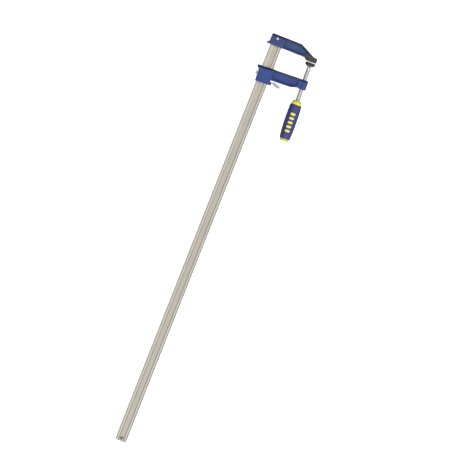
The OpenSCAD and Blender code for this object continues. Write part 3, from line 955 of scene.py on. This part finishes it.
class CLAMP_OT_handle(bpy.types.Operator):
    """Build the handle: grip with its row of bars, yellow core, collar and end cap."""

    bl_idname = "clamp.handle"
    bl_label = "Handle"

    def execute(self, context):
        sizes, colours = context.scene.clamp_sizes, context.scene.clamp_colours
        low, high = span("handle_grip")
        top_r, end_r, belly = 13.85 * MM, 12.8 * MM, 1.44 * MM
        core_r = end_r - 2.4 * MM
        side = grip_outline(low, high, top_r, end_r, belly)
        dense = evenly(side, np.linspace(0, 1, len(side)), np.linspace(0, 1, 150))

        def seam(angle, height, r):
            """Two fine mould lines, on opposite sides."""
            line = np.exp(-((np.abs(np.cos(angle)) - 1) / 0.00035) ** 2)
            return np.where(r > core_r + 0.2 * MM, r + 0.1 * MM * line, r)

        points, faces = lathe(np.concatenate([dense, [(core_r, high), (core_r, low)]]), 128, seam)
        grip = make_mesh("handle_grip_moulded", on_axis(points), faces)
        holes = self.bars(sizes.grip_bars, low, high, 0.0, core_r - 1 * MM)
        mesh = combined("handle_grip_moulded", grip, holes, "DIFFERENCE")
        sharpen(mesh, 30)
        soft = plastic("grip_plastic", colours.grip, 0.5, 1300.0, 0.12 * MM)
        settle("handle_grip_moulded", mesh, "screw_body", "handle_grip", soft)

        corners = [(core_r, low), (core_r, high), (SCREW_BORE, high), (SCREW_BORE, low)]
        points, faces = lathe(fillet(corners, [0.3 * MM] * 4, 2), 64)
        core = make_mesh("handle_core_moulded", on_axis(points), faces)
        pads = self.bars(sizes.grip_bars, low, high, 0.12 * MM, core_r - 0.5 * MM, side)
        mesh = combined("handle_core_moulded", core, pads, "UNION")
        sharpen(mesh, 30)
        yellow = plastic("yellow_plastic", colours.yellow, 0.34, 900.0, 0.03 * MM, coat=0.2)
        settle("handle_core_moulded", mesh, "screw_body", "handle_core", yellow)
        self.collar(yellow)
        self.cap(plastic("cap_plastic", colours.cap, 0.36, 900.0, 0.03 * MM, coat=0.2))
        return {"FINISHED"}

    def bars(self, count, low, high, slack, inner, side=None):
        """Round-ended prisms that stand across the grip on two sides. Their tops are flat and clear of it, or
        follow the grip's side, a little below it: height above the axis = sqrt(r^2 - x^2)."""
        across, along = BAR_WIDE - 2 * slack, BAR_HIGH - 2 * slack
        middle = high - 0.52 * (high - low)
        half = (across - along) / 2
        x = np.linspace(-1, 1, 25) * (half + along / 2)
        spare = np.clip(np.abs(x) - half, 0, along / 2)
        reach_up = np.sqrt(np.maximum((along / 2) ** 2 - spare**2, (0.02 * along) ** 2))
        v = np.linspace(-1, 1, 9)
        xs = np.repeat(x[:, None], len(v), 1)
        zs = reach_up[:, None] * v[None, :]
        net = quads(*xs.shape, wrap_cols=False)
        index = np.arange(xs.size).reshape(xs.shape)
        rim = np.concatenate([index[0, :], index[1:, -1], index[-1, -2::-1], index[-2:0:-1, 0]])
        after = np.roll(rim, -1)
        wall = np.stack([rim, after, after + xs.size, rim + xs.size], 1)
        prism = np.concatenate([net, net[:, ::-1] + xs.size, wall])
        parts, faces = [], []
        for face in (-1, 1):
            for i in range(count):
                heights = middle + (i - (count - 1) / 2) * BAR_PITCH + zs
                top = np.full_like(xs, 20 * MM)
                if side is not None:
                    r = np.interp(heights, side[:, 1], side[:, 0]) - BAR_SUNK
                    top = np.sqrt(np.maximum(r**2 - xs**2, 0))
                floor = np.full_like(xs, face * inner * 0.72)
                faces += (prism + len(parts) * xs.size).tolist()
                for y in (face * top, floor):
                    parts.append(np.stack([xs, y, heights], -1).reshape(-1, 3))
        return make_mesh("bars", on_axis(np.concatenate(parts)), faces)

    def collar(self, yellow):
        """A flared collar: r shrinks by the cube of a raised cosine, sixteen times round."""
        low, high = span("handle_collar")
        wide, bore, neck, rib_deep = reach("handle_collar"), 5.3 * MM, 9.2 * MM, 0.55 * MM
        outline = fillet(
            [(bore, low), (wide, low), (wide, low + 5.5 * MM), (neck, high), (bore, high)],
            [0.0, 0.8 * MM, 2.2 * MM, 1.2 * MM, 0.4 * MM], 6,
        )
        fine = np.concatenate([outline, outline[:1]])
        length = np.concatenate([[0], np.cumsum(np.linalg.norm(np.diff(fine, axis=0), axis=1))])
        ring = evenly(fine, length, np.linspace(0, length[-1], 90, endpoint=False))

        def ribs(angle, height, r):
            """Sixteen shallow grooves, which fade out where the collar narrows."""
            out = ease(8.5 * MM, 11 * MM, r)
            return r - rib_deep * out * (0.5 + 0.5 * np.cos(16 * angle)) ** 3

        mesh = turned("handle_collar_ribbed", ring, 192, ribs)
        settle("handle_collar_ribbed", mesh, "screw_body", "handle_collar", yellow)

    def cap(self, finish):
        """A domed end cap with a small dimple in the middle."""
        low, high = span("handle_cap")
        wide, dimple = reach("handle_cap"), 0.8 * MM
        outline = fillet(
            [(0.0, low + dimple), (4.4 * MM, low + dimple), (5.2 * MM, low), (wide - 2.6 * MM, low),
             (wide - 0.5 * MM, low + 2.6 * MM), (wide, high), (0.0, high)],
            [0, 0.5 * MM, 0.6 * MM, 2.2 * MM, 3.0 * MM, 0.25 * MM, 0], 6, closed=False,
        )
        mesh = turned("handle_cap_domed", outline, 96)
        settle("handle_cap_domed", mesh, "screw_body", "handle_cap", finish)


# ---- swivel pad


class CLAMP_OT_swivel(bpy.types.Operator):
    """Build the swivel pad, its soft cover and the ring that holds the ball."""

    bl_idname = "clamp.swivel"
    bl_label = "Swivel pad"

    def execute(self, context):
        colours, play = context.scene.clamp_colours, 0.06 * MM
        ball, ring = reach("ball_tip") + play, reach("pad_retainer") + play
        self.cup(ball, ring, plastic("pad_plastic", colours.cup, 0.4, 900.0, 0.06 * MM))
        self.cover(rubber("cover_rubber", colours.black))
        self.ring(ball)
        return {"FINISHED"}

    def cup(self, ball, ring, finish):
        """A cup whose inside is two spheres about the ball's centre, with a waist and webs on its skirt."""
        low, high = span("swivel_pad")
        wide, web_high = reach("swivel_pad"), 0.9 * MM
        front = np.linspace(math.pi / 2, 0.0, 14)[:, None]
        back = np.linspace(0.0, -math.asin(min(1.0, -low / ring)), 10)[:, None]
        inside = np.concatenate(
            [r * np.concatenate([np.cos(t), np.sin(t)], 1) for r, t in ((ball, front), (ring, back))]
        )
        inside[0, 0] = 0.0
        outside = fillet(
            [(inside[-1, 0], low), (ring + 1.7 * MM, low), (ring + 2.6 * MM, low + 2.0 * MM),
             (wide, 1.6 * MM), (wide, high), (0.0, high)],
            [0, 0.7 * MM, 1.5 * MM, 1.2 * MM, 0.3 * MM, 0], 5, closed=False,
        )

        def webs(angle, height, r):
            """Twelve low webs on the outside of the skirt."""
            skirt = ease(low + 0.6 * MM, low + 2 * MM, height) * (1 - ease(0.6 * MM, 1.6 * MM, height))
            out = r > ring + 1.2 * MM
            return np.where(out, r + web_high * skirt * (0.5 + 0.5 * np.cos(12 * angle)) ** 4, r)

        mesh = turned("swivel_pad_cup", np.concatenate([inside, outside[1:]]), 144, webs)
        settle("swivel_pad_cup", mesh, "pad_body", "swivel_pad", finish)

    def cover(self, finish):
        """A soft cap over the cup, its face cut by rings of shallow grooves."""
        low, high = span("pad_cover")
        wide, flat_r, groove_pitch = reach("pad_cover"), reach("pad_cover") - 1.9 * MM, 2.2 * MM
        cup_top, cup_r = span("swivel_pad")[1], reach("swivel_pad")
        face = np.linspace(0.0, flat_r, 70)
        groove = 0.35 * MM * ease(0.55, 0.9, 0.5 - 0.5 * np.cos(2 * math.pi * face / groove_pitch))
        rim = fillet(
            [(flat_r, high), (wide - 0.6 * MM, high), (wide, high - 1.8 * MM), (wide, low),
             (cup_r, low), (cup_r, cup_top), (0.0, cup_top)],
            [0, 0.7 * MM, 0.9 * MM, 0.6 * MM, 0.3 * MM, 0, 0], 5, closed=False,
        )
        profile = np.concatenate([np.stack([face, high - groove], 1), rim[1:]])
        mesh = turned("pad_cover_grooved", profile, 96)
        settle("pad_cover_grooved", mesh, "pad_body", "pad_cover", finish)

    def ring(self, ball):
        """The retainer: a slice of a spherical shell, between the ball and the cup."""
        low, high = span("pad_retainer")
        outer, rise = 5.5 * MM, np.linspace(low, high, 8)
        outside = np.stack([np.sqrt(outer**2 - rise**2), rise], 1)
        inside = np.stack([np.sqrt(ball**2 - rise[::-1] ** 2), rise[::-1]], 1)
        mesh = turned("pad_retainer_turned", np.concatenate([outside, inside]), 64)
        steel = rolled_steel("retainer_steel", (0.4, 0.4, 0.4), (1.0, 1.0, 1.0))
        settle("pad_retainer_turned", mesh, "retainer_body", "pad_retainer", steel)


# ---- stage


class CLAMP_OT_stage(bpy.types.Operator):
    """Lay the pale floor and set the lights and the camera."""

    bl_idname = "clamp.stage"
    bl_label = "Stage"

    def execute(self, context):
        scene = context.scene
        scene.view_settings.view_transform = "Standard"
        low, high = (np.array(c) for c in CAD_BOX)
        half, gap = 6.0, 0.5 * MM
        corners = np.array([(-1, -1, 0), (1, -1, 0), (1, 1, 0), (-1, 1, 0)]) * half
        corners = corners + (0.0, (low[1] + high[1]) / 2, low[2] - gap)
        floor = link("floor", make_mesh("floor", corners, [(0, 1, 2, 3)]))
        floor.data.materials.append(self.paper())
        self.room(scene)
        self.lamps(scene, (low + high) / 2)
        self.camera(scene)
        return {"FINISHED"}

    def paper(self):
        """A pale lit table: it glows to the eye, and gives back less light to the clamp than it shows."""
        finish, tree, shader = new_finish("floor_paper", Roughness=0.9, Specular_IOR_Level=0.1)
        fibres = use(tree, "grain", Scale=30.0, Detail=4.0, Contrast=0.6)["Value"]
        paper = mix_colour(tree, fibres, (0.90, 0.90, 0.90), (0.94, 0.94, 0.935))
        seen = put(tree, "ShaderNodeLightPath").outputs["Is Camera Ray"]
        tree.links.new(mix_colour(tree, seen, (0.42, 0.42, 0.42), paper), shader.inputs["Base Color"])
        shader.inputs["Emission Color"].default_value = (1.0, 1.0, 1.0, 1.0)
        tree.links.new(math_node(tree, "MULTIPLY", seen, 0.65), shader.inputs["Emission Strength"])
        return finish

    def room(self, scene):
        """A room that is bright overhead and falls off towards the horizon, as under one large soft box."""
        world = bpy.data.worlds.new("room")
        world.use_nodes = True
        tree = world.node_tree
        direction = put(tree, "ShaderNodeTexCoord").outputs["Generated"]
        height = put(tree, "ShaderNodeSeparateXYZ", {"Vector": direction}).outputs["Z"]
        dome = ramp(tree, height, 0.2, 0.96, 0.22, 1.22)
        seen = put(tree, "ShaderNodeLightPath").outputs["Is Camera Ray"]
        strength = math_node(tree, "MAXIMUM", dome, seen)
        background = tree.nodes["Background"]
        background.inputs["Color"].default_value = (1.0, 1.0, 1.0, 1.0)
        tree.links.new(strength, background.inputs["Strength"])
        scene.world = world

    def lamps(self, scene, middle):
        """A broad sun from the foot of the view, and a soft box beside the handle."""
        for name, kind, place, width, power in (
            ("key", "SUN", (0.55, -1.35, 1.3), 0.5, 2.4),
            ("side", "AREA", (2.2, 0.87, 1.1), 0.9, 11.0),
        ):
            lamp = bpy.data.lights.new(name, kind)
            lamp.energy = power
            if kind == "SUN":
                lamp.angle = width
            else:
                lamp.shape, lamp.size = "SQUARE", width
            lit = bpy.data.objects.new(name, lamp)
            scene.collection.objects.link(lit)
            lit.location = middle + np.array(place)
            lit.rotation_mode = "QUATERNION"
            lit.rotation_quaternion = Vector(place).to_track_quat("Z", "Y")

    def camera(self, scene):
        """Far off with a long lens, turned so that the bar leans, and tipped a little towards the head."""
        bar_low, bar_high = box("bar")
        lens = bpy.data.cameras.new("camera")
        view = bpy.data.objects.new("camera", lens)
        scene.collection.objects.link(view)
        aside, below, away, wide = 0.0797, 0.4788, 8.0, 1.1206
        turn, tip = math.radians(21.5), math.radians(4.0)
        back = np.array([-math.sin(tip) * math.sin(turn), math.sin(tip) * math.cos(turn), math.cos(tip)])
        aim = np.array([(bar_low[0] + bar_high[0]) / 2 + aside, bar_high[1] - below, 0.0])
        view.location = aim + away * back
        view.rotation_euler = (-tip, 0.0, turn)
        lens.sensor_width = 36.0
        lens.lens = lens.sensor_width * away / wide
        lens.clip_end = 50.0
        scene.camera = view


# ---- panel and registration

MAKERS = (
    CLAMP_OT_bar,
    CLAMP_OT_castings,
    CLAMP_OT_boot,
    CLAMP_OT_clutch,
    CLAMP_OT_screw,
    CLAMP_OT_handle,
    CLAMP_OT_swivel,
    CLAMP_OT_stage,
)


class CLAMP_PT_panel(bpy.types.Panel):
    """The clamp's makers and settings, in the 3D view's sidebar."""

    bl_idname = "CLAMP_PT_panel"
    bl_label = "F clamp"
    bl_space_type = "VIEW_3D"
    bl_region_type = "UI"
    bl_category = "F clamp"

    def draw(self, context):
        layout = self.layout
        for maker in MAKERS:
            layout.operator(maker.bl_idname)
        for settings in (context.scene.clamp_sizes, context.scene.clamp_colours):
            for key in settings.__annotations__:
                layout.prop(settings, key)


CLASSES = (ClampSizes, ClampColours, *MAKERS, CLAMP_PT_panel)


def register():
    """Adds the classes and the two groups of settings."""
    for each in CLASSES:
        bpy.utils.register_class(each)
    bpy.types.Scene.clamp_sizes = PointerProperty(type=ClampSizes)
    bpy.types.Scene.clamp_colours = PointerProperty(type=ClampColours)


def unregister():
    """Takes them away again."""
    del bpy.types.Scene.clamp_colours
    del bpy.types.Scene.clamp_sizes
    for each in reversed(CLASSES):
        bpy.utils.unregister_class(each)


def main():
    register()
    for maker in MAKERS:
        family, name = maker.bl_idname.split(".")
        getattr(getattr(bpy.ops, family), name)()


if __name__ == "__main__":
    main()
